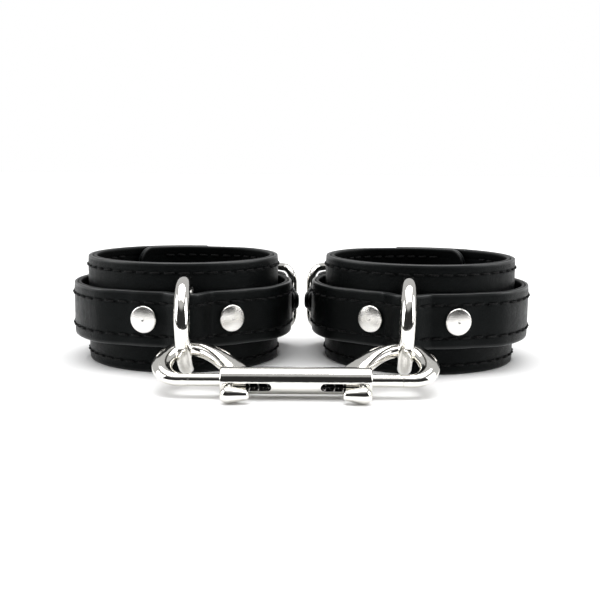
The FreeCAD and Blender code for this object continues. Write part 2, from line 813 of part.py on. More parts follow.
faults = [thing.Name for thing in doc.Objects if {"Invalid", "Error"} & set(thing.State)]
for name, thing in nodes.items():
    if thing.Shape.isNull() or not thing.Shape.isValid():
        faults.append(name)
if faults:
    raise RuntimeError(f"these objects failed: {faults}")

os.makedirs("parts", exist_ok=True)
for name, thing in nodes.items():
    thing.Shape.exportStep(f"parts/{name}.step")
whole = Part.makeCompound([thing.Shape for thing in nodes.values()]).BoundBox
print(f"{len(nodes)} pieces, X {whole.XMin:.2f} to {whole.XMax:.2f}, "
      f"Y {whole.YMin:.2f} to {whole.YMax:.2f}, Z {whole.ZMin:.2f} to {whole.ZMax:.2f}")
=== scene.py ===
import json
import math

import bmesh
import bpy
import numpy as np
from mathutils import Matrix, Vector


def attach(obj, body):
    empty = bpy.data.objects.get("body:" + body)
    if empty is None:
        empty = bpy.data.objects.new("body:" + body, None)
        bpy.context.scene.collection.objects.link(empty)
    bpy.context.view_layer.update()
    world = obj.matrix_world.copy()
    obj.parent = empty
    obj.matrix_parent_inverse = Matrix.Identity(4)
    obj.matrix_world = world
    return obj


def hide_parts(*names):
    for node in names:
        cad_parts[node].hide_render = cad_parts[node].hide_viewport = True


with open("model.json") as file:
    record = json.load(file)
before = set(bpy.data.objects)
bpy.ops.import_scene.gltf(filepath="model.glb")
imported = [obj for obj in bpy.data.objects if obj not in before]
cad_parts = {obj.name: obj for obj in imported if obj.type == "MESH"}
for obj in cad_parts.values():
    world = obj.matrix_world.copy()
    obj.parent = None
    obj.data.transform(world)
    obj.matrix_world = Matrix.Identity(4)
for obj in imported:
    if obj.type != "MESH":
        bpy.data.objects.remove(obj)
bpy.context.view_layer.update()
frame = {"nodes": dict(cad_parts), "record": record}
random = np.random.RandomState(11)

# Two buckled leather cuffs and the bolt snap that joins them. The leather and its stitching are
# made here, along the same lines in plan as the CAD solids; the hardware keeps its CAD meshes.
# Lengths are millimetres and angles are degrees unless a name says otherwise. Meshes are made in
# metres.
MM = 0.001
SIDES = {"left": 1, "right": -1}

# the cuffs, as the CAD model places them
CUFF_SPACING = 88.36
CUFF_BACK = 18.835
CUFF_TURN = {1: math.radians(8.2), -1: math.radians(9.8)}
FRONT = -90.0
LAYER_GAP = 0.04

# the wrist band: its two layers, its overlapped ends and its corners
BAND_RADIUS = 35.2
BAND_HEIGHT = 38.0
BAND_FACE = 1.7
BAND_LINING = 1.5
BAND_GAP = 0.15
BAND_OUTER_END = 71.0
BAND_INNER_END = 483.5
BAND_CORNER = 6.0
BAND_STEP = 34.0
BAND_STEP_EARLY = 4.0

# the strap: its two layers and how it lies round the band and over the D-ring's bar
STRAP_WIDTH = 19.0
STRAP_MIDDLE = 19.0
STRAP_LAYER = 1.3
STRAP_LIFT = 0.08
STRAP_GAP = 2.5
LOOSE_FROM = 31.0
LOOSE_OVER = 22.0
JOIN_PAST_FRONT = 4.0
RING_BULGE = 5.9
BULGE_TURN = 13.9
RING_TURN = {1: -0.2, -1: 3.8}
SQUARE_CORNER = 1.2
POINT_LENGTH = 11.0
POINT_RISE = 7.5
POINT_NOSE = 2.6
POINT_BLUNT = 0.6

# the strap by the buckle: the frame, its bar, the fold round the bar and the tail over it
BUCKLE_TURN = 28.0
BUCKLE_PLANE = 42.6
BUCKLE_WIRE = 1.5
BUCKLE_HALF_LENGTH = 11.2
BUCKLE_RISE = 10.4
BUCKLE_REACH = 13.0
BUCKLE_SLACK = 0.15
SHORT_REACH = 12.0
SHORT_TURN = 5.0
SHORT_EASE = 14.0
BAR_RADIUS = 1.3
BAR_DROP = 3.2
WRAP_GAP = 0.08
FOLD_STATIONS = (6.2, 8.4, 10.2, 11.6)
TAIL_END = 18.4
TAIL_EASE = 40.0
STRAP_DROP = 2 * STRAP_LAYER + LAYER_GAP + BUCKLE_SLACK
WRAP_RADIUS = BAR_RADIUS + WRAP_GAP + STRAP_LAYER / 2

# the holes punched in the strap
TAIL_HOLES = (60, 82, 104, 126)
HOLE_SIZE = 3.2
HOLE_REACH = 5.0
SLOT_WIDTH = 3.4
SLOTS = ((-4.3, 0.0, 7.8, 2.2), (-0.2, -BAR_DROP, 6.0, 2.62))

# the snap's barrel
BARREL_MIDDLE = (-2.3, -49.165, 5.43)
BARREL_HALF = 23.5
BORE_RADIUS = 2.1
BORE_MARGIN = 0.15
MOUTH_MARGIN = 0.05

# the finish of the leather's edges and faces; the rim and groove numbers they shape also carry the
# painted highlight on the rims and the painted shade in the sewing's grooves
BAND_BEVEL = 0.55
LINING_BEVEL = 0.4675
STRAP_BEVEL = 0.48
PILLOW = 0.10
PILLOW_SPREAD = 1.2
RIM_SPREAD = 0.5
GROOVE_DEPTH = 0.16
GROOVE_SPREAD = 0.4
GROOVE_RUN_OUT = 1.5
HOLE_DEPTH = 0.22
HOLE_SPREAD = 0.55

# the sewing: a seam's distance from the edge, the stitches and the thread
BAND_SEAM = 3.35
STRAP_SEAM = 3.8
SEAM_ROOM = 1.2
SEAM_SPARE = 0.3
STITCH_PITCH = 5.0
STITCH_LENGTH = 3.8
STITCH_RISE = 0.27
STITCH_DIVE = 0.75
STITCH_SLANT = 0.10
STITCH_STEPS = 11
THREAD_RADIUS = 0.36
THREAD_FLATNESS = 0.9
THREAD_LAY = 1.1
THREAD_SIDES = 8
BAND_SEWN_FROM = 3.5
BAND_SEWN_SHORT = 7.0
BAND_SEWN_OVERLAP = 34.0
BAND_INSIDE_SKIP = 35.0
STRAP_SEWN_FROM = 25.0
STRAP_SEWN_SHORT = 7.5

# where a strip's mesh has its points, along it and across it
LINE_POINTS = 4000
STATION_STEP = 0.625
EDGE_STATIONS = (0, 0.05, 0.15, 0.32, 0.55, 0.8, 1.15)
CORNER_STATIONS = (0.95, 1.3, 1.8, 2.4, 3.0, 3.8, 4.6, 5.4)
LEAST_STEP = 0.015
EDGE_TURNS = (90, 67.5, 45, 22.5)
SEAM_TRACKS = (-0.95, -0.62, -0.4, -0.2, 0, 0.2, 0.4, 0.62, 0.95)
BEFORE_SEAM = 1.4
PAST_SEAM = 1.6

# the camera, in the row frame
CAMERA_PLACE = (-4.10, -337.53, 73.2)
CAMERA_HEADING = -0.558
CAMERA_PITCH = 8.39
CAMERA_ROLL = 0.54
CAMERA_LENS = 57.17
CAMERA_SENSOR = 36

# the studio, in metres
FLOOR_HALF = 4.0
FLOOR_DROP = 0.00002
GLOW_FROM = 0.35
GLOW_FULL = 1.3


# ---------------------------------------------------------------- lines in plan view
# Drawn for the left cuff: X towards the other cuff, the D-ring at -Y.


def polar(radius, degrees):
    turn = math.radians(degrees)
    return radius * math.cos(turn), radius * math.sin(turn)


def smooth(amount):
    """0 below 0, 1 above 1, and an even S between them."""
    amount = min(max(amount, 0.0), 1.0)
    return amount * amount * (3 - 2 * amount)


def swell(amount):
    """1 at 0, falling smoothly to 0 at 1 and beyond."""
    return math.cos(math.radians(90 * min(abs(amount), 1.0))) ** 2


def buckle_point(along, out):
    """A point by the buckle: along the strap towards the front, and out from the frame's plane."""
    turn = math.radians(BUCKLE_TURN)
    reach = BUCKLE_PLANE + out
    x = reach * math.cos(turn) + along * math.sin(turn)
    y = reach * math.sin(turn) - along * math.cos(turn)
    return x, y


def shifted(points, distance):
    """The line moved sideways by a distance: positive is to its left."""
    points = np.array(points)
    run = np.empty_like(points)
    run[1:-1] = points[2:] - points[:-2]
    run[0] = points[1] - points[0]
    run[-1] = points[-1] - points[-2]
    run /= np.linalg.norm(run, axis=1)[:, None]
    return points + distance * np.column_stack([-run[:, 1], run[:, 0]])


def strap_radius(degrees, side):
    """The strap's middle surface where it lies round the band, bulged round the D-ring's bar."""
    from_front = abs(degrees - FRONT)
    bulge = RING_BULGE * swell((degrees - FRONT - RING_TURN[side]) / BULGE_TURN)
    loose = STRAP_GAP * smooth((from_front - LOOSE_FROM) / LOOSE_OVER)
    return BAND_RADIUS + STRAP_LAYER + STRAP_LIFT + bulge + loose


def tail_out(along):
    """How far the tail's middle surface is out from the buckle frame's plane."""
    under = -BUCKLE_WIRE - STRAP_LAYER - BUCKLE_SLACK
    over = -BAR_DROP + WRAP_RADIUS - STRAP_LAYER / 2 + STRAP_DROP
    past_bow = max(along - BUCKLE_HALF_LENGTH, 0.0)
    return under + (over - under) * swell(along / BUCKLE_RISE) - past_bow**2 / (2 * BAND_RADIUS)


def beside_tail(places, distance):
    """Points inside the tail by the buckle, square to it from each place along it."""
    return shifted([buckle_point(along, tail_out(along)) for along in places], -distance)


def tail_points(side):
    """From the D-ring round the outer side and the back, through the buckle, to the tail's tip."""
    back = BUCKLE_TURN + math.degrees(math.atan2(BUCKLE_REACH, BUCKLE_PLANE - 3)) - 360
    start, stop = FRONT - JOIN_PAST_FRONT, back + TAIL_EASE
    points = [polar(strap_radius(d, side), d) for d in np.linspace(start, stop, 73)]
    leaving = strap_radius(stop, side)
    entry = math.hypot(*buckle_point(-BUCKLE_REACH, tail_out(-BUCKLE_REACH)))
    for share in np.arange(1, 9) / 9:
        radius = leaving + (entry - leaving) * smooth(share) ** 0.9
        points.append(polar(radius, stop + (back - stop) * share))
    points += [buckle_point(a, tail_out(a)) for a in np.linspace(-BUCKLE_REACH, TAIL_END, 27)]
    return points


def short_points(first_along, side):
    """From near the buckle's bar towards the front and round to the D-ring."""
    points = list(beside_tail(np.linspace(first_along, SHORT_REACH, 10), STRAP_DROP))
    leaving = math.hypot(*points[-1])
    first = math.degrees(math.atan2(points[-1][1], points[-1][0])) - SHORT_TURN
    for degrees in np.linspace(first, FRONT - JOIN_PAST_FRONT, 47):
        near = smooth((first - degrees) / SHORT_EASE)
        points.append(polar(leaving + (strap_radius(degrees, side) - leaving) * near, degrees))
    return points


def fold_points():
    """The face layer where it folds round the buckle's bar, from the fold's end."""
    under_lining = STRAP_DROP + STRAP_LAYER * 1.5 + LAYER_GAP + BUCKLE_SLACK
    points = list(beside_tail(FOLD_STATIONS, under_lining)[::-1])
    for turn in np.radians(np.arange(-90, 91, 20)):
        out = -BAR_DROP + WRAP_RADIUS * math.sin(turn)
        points.append(buckle_point(-WRAP_RADIUS * math.cos(turn), out))
    return points


def band_points():
    """The band's outer surface, from the end that lies outside to the end that lies inside."""
    drop = BAND_FACE + BAND_LINING + BAND_GAP
    under = BAND_OUTER_END + 360 - BAND_STEP_EARLY
    points = []
    for degrees in np.linspace(BAND_OUTER_END, BAND_INNER_END, 97):
        inside = smooth((degrees - under + BAND_STEP) / BAND_STEP)
        points.append(polar(BAND_RADIUS - drop * inside, degrees))
    return points


def through(points, count):
    """Points along the natural cubic spline through the given ones."""
    points = np.array(points)
    gap = np.linalg.norm(np.diff(points, axis=0), axis=1)
    chord = np.concatenate([[0], np.cumsum(gap)])
    size = len(points)
    system = np.eye(size)
    slopes = np.diff(points, axis=0) / gap[:, None]
    right = np.zeros_like(points)
    for row in range(1, size - 1):
        system[row, row - 1:row + 2] = gap[row - 1], 2 * (gap[row - 1] + gap[row]), gap[row]
        right[row] = 6 * (slopes[row] - slopes[row - 1])
    bend = np.linalg.solve(system, right)
    at = np.linspace(0, chord[-1], count)
    span = np.clip(np.searchsorted(chord, at, side="right") - 1, 0, size - 2)
    b = ((at - chord[span]) / gap[span])[:, None]
    a = 1 - b
    cubic = (a**3 - a) * bend[span] + (b**3 - b) * bend[span + 1]
    return a * points[span] + b * points[span + 1] + cubic * gap[span][:, None] ** 2 / 6


def to_row(x, y, side):
    """A point beside the left cuff, mirrored for the right one, in the row frame's plan."""
    turn = side * CUFF_TURN[side]
    x = x * side
    across = -side * CUFF_SPACING / 2 + x * math.cos(turn) - y * math.sin(turn)
    back = CUFF_BACK + x * math.sin(turn) + y * math.cos(turn)
    return np.stack([across, back], axis=-1)


# ---------------------------------------------------------------- strips of leather


class Strip:
    """A strip of leather on edge: its line in plan, its two faces and how its ends are shaped."""

    def __init__(self, points, near, far, bottom, width, side, seam, ends):
        self.fine = through(points, LINE_POINTS)
        steps = np.linalg.norm(np.diff(self.fine, axis=0), axis=1)
        self.reach = np.concatenate([[0], np.cumsum(steps)])
        self.length = self.reach[-1]
        run = np.gradient(self.fine, axis=0)
        run /= np.linalg.norm(run, axis=1)[:, None]
        self.left = np.column_stack([-run[:, 1], run[:, 0]])
        self.near, self.far = near, far
        self.width = width
        self.middle = bottom + width / 2
        self.side, self.seam, self.ends = side, seam, ends

    def plan(self, along, depth):
        """Points in the row frame's plan at distances along the line and sideways from it."""
        spot = [np.interp(along, self.reach, self.fine[:, axis]) for axis in (0, 1)]
        left = [np.interp(along, self.reach, self.left[:, axis]) for axis in (0, 1)]
        return to_row(spot[0] + depth * left[0], spot[1] + depth * left[1], self.side)

    def half_width(self, along):
        """Half the strip's width at distances along it, with its shaped ends."""
        half = np.full_like(along, self.width / 2)
        for kind, left in zip(self.ends, (along, self.length - along)):
            half = np.minimum(half, end_shape(kind, left, self.width / 2))
        return half

    def height(self, along, from_edge, top):
        """The height of a line that keeps its distance from one edge, also along a pointed end."""
        half = self.half_width(np.asarray(along, float))
        inset = squeezed(from_edge, half, self.width / 2, self.seam)
        return self.middle + (half - inset) * (1 if top else -1)

    def stations(self, bevel):
        """Distances along the strip, closer together where its ends are rounded."""
        ends = np.concatenate([np.array(EDGE_STATIONS) * bevel, CORNER_STATIONS])
        count = int(round(self.length / STATION_STEP))
        even = np.linspace(0, self.length, count + 1)
        along = np.unique(np.round(np.concatenate([even, ends, self.length - ends]), 4))
        return along[np.concatenate([[True], np.diff(along) > LEAST_STEP])]


def round_over(distance, radius):
    """How far a quarter circle has dropped back at a distance short of its end."""
    short = radius - np.minimum(distance, radius)
    return radius - np.sqrt(np.maximum(radius**2 - short**2, 0))


def end_shape(kind, left, half):
    """Half the width at a distance from a strip's end."""
    left = np.maximum(left, 0.0)
    if kind == "point":
        wedge = half - POINT_RISE + POINT_RISE * left / POINT_LENGTH
        blunt = POINT_BLUNT + POINT_NOSE - round_over(left, POINT_NOSE)
        return np.where(left < POINT_NOSE, np.minimum(wedge, blunt), wedge)
    return half - round_over(left, {"round": BAND_CORNER, "square": SQUARE_CORNER}[kind])


def squeezed(from_edge, half, full, seam):
    """A distance from the edge, kept while there is room for it and shrunk where there isn't."""
    kept = seam + SEAM_ROOM
    room = kept + SEAM_SPARE
    inner = np.maximum(from_edge - kept, 0) / (full - kept)
    wide = np.minimum(from_edge, kept) + inner * (np.maximum(half, room) - kept)
    return wide * np.minimum(half / room, 1.0)


def sewing_dip(along, sewn):
    """How deep the sewing presses the leather in: a groove, with a dimple at each needle hole."""
    from_hole = np.abs((along - sewn[0] + STITCH_PITCH / 2) % STITCH_PITCH - STITCH_PITCH / 2)
    after_start = np.clip((along - sewn[0]) / GROOVE_RUN_OUT + 1, 0, 1)
    before_end = np.clip((sewn[1] - along) / GROOVE_RUN_OUT + 1, 0, 1)
    dimple = HOLE_DEPTH * np.exp(-(from_hole / HOLE_SPREAD)**2)
    return (GROOVE_DEPTH + dimple) * after_start * before_end


def tracks_across(strip, bevel):
    """The lines that a face is drawn with, from its bottom edge to its top edge.

    An "edge" line is a turn round the bevel, and a "face" line is a distance from the edge.
    """
    face = np.concatenate([np.linspace(bevel, strip.seam - BEFORE_SEAM, 3),
                           strip.seam + np.array(SEAM_TRACKS),
                           np.linspace(strip.seam + PAST_SEAM, strip.width / 2, 5)])
    half = [("edge", turn) for turn in np.radians(EDGE_TURNS)] + [("face", e) for e in face]
    return [(*track, -1) for track in half] + [(*track, 1) for track in half[-2::-1]]


def make_strip(name, strip, bevel, sewn_near, sewn):
    """The strip's mesh: rounded edges and ends, and a groove under each row of stitches."""
    along = strip.stations(bevel)
    inset = round_over(np.minimum(along, strip.length - along), bevel)
    corner = np.maximum(bevel - inset, 0.08 * bevel)
    full = strip.width / 2
    half = strip.half_width(along)
    dip_at = sewing_dip(along, sewn)
    verts, rims, grooves = [], [], []
    for near in (True, False):
        inwards = 1 if near else -1
        surface = strip.near + inset if near else strip.far - inset
        for kind, value, up in tracks_across(strip, bevel):
            if kind == "face":
                in_seam = math.exp(-((value - strip.seam) / GROOVE_SPREAD)**2)
                dip = dip_at * in_seam * (near == sewn_near)
                depth = dip + PILLOW * math.exp(-((value - bevel) / PILLOW_SPREAD)**2)
                above = half - squeezed(value, half, full, strip.seam)
                rim = 0.5 * math.exp(-((value - bevel) / RIM_SPREAD)**2)
                groove = dip / GROOVE_DEPTH
            else:
                depth = corner * (1 - math.cos(value)) + PILLOW * math.cos(value)
                above = half - squeezed(bevel, half, full, strip.seam) + corner * math.sin(value)
                rim = 0.5 + 0.5 * math.sin(value)
                groove = 0 * along
            plan = strip.plan(along, surface + inwards * depth)
            verts.append(np.column_stack([plan, strip.middle + up * above]))
            rims.append(np.full(len(along), rim))
            grooves.append(groove)
    # the rim number lightens the leather's base colour as a painted highlight and also sets its
    # roughness, coat and grain; the groove number darkens it as painted shade
    return skin(name, verts, {"rim": rims, "groove": grooves})


def skin(name, tracks, attributes):
    """A closed mesh over two facing sets of tracks, near ones first."""
    rows, size = len(tracks) // 2, len(tracks[0])
    faces = []
    ring = list(range(rows)) + list(range(2 * rows - 1, rows - 1, -1))
    start = np.arange(size - 1)
    for a, b in zip(ring, ring[1:] + ring[:1]):
        faces.append(np.column_stack([a * size + start, b * size + start,
                                      b * size + start + 1, a * size + start + 1]))
    k = np.arange(rows - 1)
    for end in (0, size - 1):
        faces.append(np.column_stack([k * size + end, (k + 1) * size + end,
                                      (k + 1 + rows) * size + end, (k + rows) * size + end]))
    thing = mesh_object(name, np.concatenate(tracks), np.concatenate(faces))
    for label, values in attributes.items():
        add_attribute(thing, label, np.concatenate(values))
    finish_mesh(thing)
    return thing


def add_attribute(thing, label, values):
    """A number for each point of a mesh, for its material to read."""
    attribute = thing.data.attributes.new(label, "FLOAT", "POINT")
    attribute.data.foreach_set("value", np.asarray(values, np.float32))


def mesh_object(name, points, faces):
    """An object from points in millimetres."""
    mesh = bpy.data.meshes.new(name)
    mesh.from_pydata((np.asarray(points) * MM).tolist(), [], [list(map(int, f)) for f in faces])
    thing = bpy.data.objects.new(name, mesh)
    bpy.context.scene.collection.objects.link(thing)
    return thing


def finish_mesh(thing, sharp=35):
    """Faces turned outwards and shaded smooth except across sharp edges."""
    work = bmesh.new()
    work.from_mesh(thing.data)
    bmesh.ops.recalc_face_normals(work, faces=work.faces)
    work.to_mesh(thing.data)
    work.free()
    thing.data.shade_smooth()
    thing.data.set_sharp_from_angle(angle=math.radians(sharp))


# ---------------------------------------------------------------- the sewing


def tube_faces(first, rings, sides):
    """The faces of a closed tube whose rings of points follow each other from a first one."""
    faces = []
    for start in range(first, first + (rings - 1) * sides, sides):
        for j in range(sides):
            a, b = start + j, start + (j + 1) % sides
            faces.append((a, b, b + sides, a + sides))
    last = first + (rings - 1) * sides
    faces.append(tuple(range(first, first + sides)))
    faces.append(tuple(range(last, last + sides)))
    return faces


def make_stitches(name, strip, near, sewn):
    """The stitches along both edges of a strip's face: each dips into the leather at its ends."""
    out = -1 if near else 1
    surface = strip.near if near else strip.far
    share = np.linspace(-1, 1, STITCH_STEPS)
    rise = STITCH_RISE - STITCH_DIVE * np.abs(share) ** 5
    radius = THREAD_RADIUS * (1 - 0.25 * np.abs(share) ** 6)
    ring = np.arange(THREAD_SIDES) / THREAD_SIDES * 2 * math.pi
    points, faces, twists = [], [], []
    for start in np.arange(sewn[0], sewn[1] - STITCH_PITCH + 0.01, STITCH_PITCH):
        for top in (False, True):
            longer, later, steeper = random.normal(0, 1, 3)
            length = STITCH_LENGTH * (1 + 0.02 * longer)
            along = start + STITCH_PITCH / 2 + share * length / 2 + 0.06 * later
            centre = strip.plan(along, surface + out * rise)
            beside = strip.plan(along, surface + out * (rise + 1)) - centre
            slant = share * (STITCH_SLANT + 0.03 * steeper)
            height = strip.height(along, strip.seam, top) + slant
            faces += tube_faces(len(points), STITCH_STEPS, THREAD_SIDES)
            for k in range(STITCH_STEPS):
                for turn in ring:
                    lift = radius[k] * THREAD_FLATNESS * math.cos(turn)
                    wide = radius[k] * math.sin(turn)
                    points.append((*(centre[k] + beside[k] * lift), height[k] + wide))
                    twists.append(math.sin(2 * math.pi * along[k] / THREAD_LAY + turn))
    thing = mesh_object(name, points, faces)
    add_attribute(thing, "twist", twists)
    finish_mesh(thing, 60)
    return thing


# ---------------------------------------------------------------- punched holes


def punch(strap, place, ahead, outward, length, width, depth):
    """Cut a round-ended hole straight through a strap."""
    turns = np.linspace(-math.pi / 2, math.pi / 2, 13)
    half = (length - width) / 2
    loop = [(half + width / 2 * math.cos(t), width / 2 * math.sin(t)) for t in turns]
    loop += [(-x, -y) for x, y in loop]
    up = np.array([0, 0, 1.0])
    points = [place + ahead * x + up * y + outward * d for d in (-depth, depth) for x, y in loop]
    size = len(loop)
    faces = [(k, (k + 1) % size, size + (k + 1) % size, size + k) for k in range(size)]
    faces += [tuple(range(size)), tuple(range(size, 2 * size))]
    tool = mesh_object("tool", points, faces)
    finish_mesh(tool)
    bpy.context.view_layer.objects.active = strap
    change = strap.modifiers.new("hole", "BOOLEAN")
    change.operation = "DIFFERENCE"
    change.object = tool
    change.solver = "EXACT"
    bpy.ops.object.modifier_apply(modifier=change.name)
    bpy.data.objects.remove(tool)


def punch_strap(strap, side):
    """The adjusting holes in the tail, and the prong's slots in the tail and in the fold."""
    for degrees in TAIL_HOLES:
        spot = to_row(*polar(BAND_RADIUS + STRAP_LAYER + STRAP_GAP, degrees), side)
        inner = to_row(*polar(BAND_RADIUS + STRAP_LAYER + STRAP_GAP - 1, degrees), side)
        outward = np.array([*(spot - inner), 0])
        ahead = np.array([outward[1], -outward[0], 0])
        place = np.array([*spot, STRAP_MIDDLE])
        punch(strap, place, ahead, outward, HOLE_SIZE, HOLE_SIZE, HOLE_REACH)
    for along, out, length, depth in SLOTS:
        spot = to_row(*buckle_point(along, out), side)
        ahead = np.array([*(to_row(*buckle_point(along + 1, out), side) - spot), 0])
        outward = np.array([*(to_row(*buckle_point(along, out + 1), side) - spot), 0])
        place = np.array([*spot, STRAP_MIDDLE])
        punch(strap, place, ahead, outward, length, SLOT_WIDTH, depth)


# ---------------------------------------------------------------- materials


class Nodes:
    """Short ways to add nodes to a tree."""

    def __init__(self, tree):
        self.tree = tree

    def feed(self, socket, value):
        """Link an output to a socket, or set the socket to a plain value."""
        if isinstance(value, bpy.types.NodeSocket):
            self.tree.links.new(value, socket)
        else:
            socket.default_value = value

    def node(self, kind, **inputs):
        node = self.tree.nodes.new(kind)
        for name, value in inputs.items():
            self.feed(node.inputs[name.replace("_", " ")], value)
        return node

    def remap(self, value, low, high, to_low, to_high, curve="LINEAR"):
        """A value from one range brought into another and kept inside it."""
        node = self.node("ShaderNodeMapRange", Value=value, From_Min=low, From_Max=high,
                         To_Min=to_low, To_Max=to_high)
        node.interpolation_type = curve
        return node.outputs["Result"]

    def combine(self, operation, *values):
        node = self.tree.nodes.new("ShaderNodeMath")
        node.operation = operation
        for socket, value in zip(node.inputs, values):
            self.feed(socket, value)
        return node.outputs["Value"]


class Look(Nodes):
    """A material whose patterns are laid in the object's own coordinates."""

    def __init__(self, name, **values):
        self.material = bpy.data.materials.new(name)
        self.material.use_nodes = True
        super().__init__(self.material.node_tree)
        self.shader = self.tree.nodes["Principled BSDF"]
        for socket, value in values.items():
            self.shade(socket.replace("_", " "), value)
        self.coords = self.tree.nodes.new("ShaderNodeTexCoord").outputs["Object"]

    def shade(self, socket, value):
        self.feed(self.shader.inputs[socket], value)

    def noise(self, size_mm, detail=3.0, stretch=None, rough=0.55):
        """Noise whose features are about a size across."""
        source = self.coords
        if stretch:
            source = self.node("ShaderNodeMapping", Vector=source, Scale=stretch).outputs["Vector"]
        return self.node("ShaderNodeTexNoise", Vector=source, Scale=1 / (size_mm * MM),
                         Detail=detail, Roughness=rough).outputs["Fac"]

    def cells(self, size_mm):
        """Cells about a size across, as the distance to their edges."""
        node = self.node("ShaderNodeTexVoronoi", Vector=self.coords, Scale=1 / (size_mm * MM))
        node.feature = "DISTANCE_TO_EDGE"
        return node.outputs["Distance"]

    def attribute(self, name):
        node = self.tree.nodes.new("ShaderNodeAttribute")
        node.attribute_name = name
        return node.outputs["Fac"]

    def mix(self, share, first, second):
        """A colour between two others."""
        node = self.tree.nodes.new("ShaderNodeMix")
        node.data_type = "RGBA"
        self.tree.links.new(share, node.inputs["Factor"])
        sockets = [s for s in node.inputs if s.type == "RGBA"]
        for socket, value in zip(sockets, (first, second)):
            self.feed(socket, value if isinstance(value, bpy.types.NodeSocket) else (*value, 1))
        return next(s for s in node.outputs if s.type == "RGBA")

    def bump(self, *layers):
        """Each layer is a height from 0 to 1 and its depth in millimetres."""
        normal = None
        for height, depth in layers:
            node = self.node("ShaderNodeBump", Height=height, Strength=1.0, Distance=depth * MM)
            if normal is not None:
                self.feed(node.inputs["Normal"], normal)
            normal = node.outputs["Normal"]
        self.shade("Normal", normal)


def times(colour, factor):
    return [channel * factor for channel in colour]


def leather(name, dark, light, rough, grain, shine):
    """Pebbled leather with glossy painted edges, its rims lightened partly by the edge paint's own
    grey and partly as a painted highlight, and its sewing's grooves darkened as painted shade.
    """
    look = Look(name, Specular_Tint=(0.92, 1.0, 1.0, 1.0), Specular_IOR_Level=shine,
                Coat_Roughness=rough - 0.03)
    pebbles = look.remap(look.cells(0.75), 0.0, 0.22, 0.0, 1.0)
    pores = look.noise(0.28, 2.0)
    waves = look.noise(9.0, 2.0)
    creases = look.noise(3.2, 4.0, stretch=(1.0, 1.0, 0.35), rough=0.6)
    patch = look.noise(14.0, 3.0)
    rim, groove = look.attribute("rim"), look.attribute("groove")
    tone = look.mix(look.remap(patch, 0.35, 0.65, 0, 1), dark, light)
    # painted highlight: along the rims the base colour rises to three times the light tone, partly
    # the edge paint's own grey
    tone = look.mix(look.remap(rim, 0.3, 0.8, 0, 1), tone, times(light, 3.0))
    # painted shade: the base colour darkens in the sewing's grooves and needle holes
    tone = look.mix(look.remap(groove, 0.0, 1.6, 0, 0.85), tone, times(dark, 0.35))
    look.shade("Base Color", tone)
    face_rough = look.remap(look.noise(2.2, 4.0), 0.3, 0.7, rough - 0.05, rough + 0.07)
    rim_smoother = look.remap(rim, 0.2, 0.9, 0.0, -0.06)
    look.shade("Roughness", look.combine("ADD", face_rough, rim_smoother))
    paint = look.remap(rim, 0.15, 0.8, 0.0, 0.7)
    uneven = look.remap(patch, 0.3, 0.7, 0.8, 1.2)
    look.shade("Coat Weight", look.combine("MULTIPLY", paint, uneven))
    flat = look.combine("MULTIPLY", pebbles, look.remap(rim, 0.1, 0.6, 1.0, 0.15))
    look.bump((flat, grain), (pores, grain * 0.8), (creases, 0.05), (waves, 0.25))
    return look.material


def bore_shade_mask(look):
    """1 inside the barrel's bore and 0 on the rest of the casting: the bore is painted near black
    as painted shade and made rough as unplated metal.
    """
    near_axis = look.node("ShaderNodeMapping", Vector=look.coords,
                          Location=Vector(BARREL_MIDDLE) * -MM)
    split = look.node("ShaderNodeSeparateXYZ", Vector=near_axis.outputs["Vector"])
    squares = [look.combine("POWER", split.outputs[axis], 2.0) for axis in "YZ"]
    from_axis = look.combine("SQRT", look.combine("ADD", *squares))
    from_middle = look.combine("ABSOLUTE", split.outputs["X"])
    narrow = look.combine("LESS_THAN", from_axis, (BORE_RADIUS + BORE_MARGIN) * MM)
    short = look.combine("LESS_THAN", from_middle, (BARREL_HALF - MOUTH_MARGIN) * MM)
    return look.combine("MULTIPLY", narrow, short)


def metal(name, colour, rough, brushing=0.0, stretch=(1, 1, 1), shade_bore=False):
    """Plated or drawn metal, a little smudged, with fine scratches."""
    look = Look(name, Metallic=1.0)
    tone = look.mix(look.remap(look.noise(11.0, 2.0), 0.3, 0.7, 0, 1), colour, times(colour, 0.95))
    roughness = look.remap(look.noise(6.0, 4.0), 0.3, 0.75, rough, rough + 0.07)
    # painted shade: inside the bore the base colour goes near black; the higher roughness stands
    # for the bore's unplated metal
    if shade_bore:
        bore_shade = bore_shade_mask(look)
        tone = look.mix(bore_shade, tone, (0.03, 0.03, 0.03))
        roughness = look.combine("MAXIMUM", roughness, look.combine("MULTIPLY", bore_shade, 0.7))
    look.shade("Base Color", tone)
    look.shade("Roughness", roughness)
    scratches = look.noise(0.35, 3.0, stretch=stretch)
    ripple = look.noise(4.5, 2.0)
    look.bump((ripple, 0.05), (scratches, 0.002 + brushing))
    return look.material


def thread(name, shade, light):
    """Waxed thread, twisted along the stitch."""
    look = Look(name, Roughness=0.62, Specular_IOR_Level=0.12)
    twist = look.remap(look.attribute("twist"), -1, 1, 0, 1)
    # painted highlight and shade: the base colour is lighter along each ply's crest and darker
    # between plies
    look.shade("Base Color", look.mix(twist, shade, light))
    look.bump((twist, 0.12), (look.noise(0.12, 3.0), 0.03))
    return look.material


NICKEL = (0.85, 0.835, 0.795)

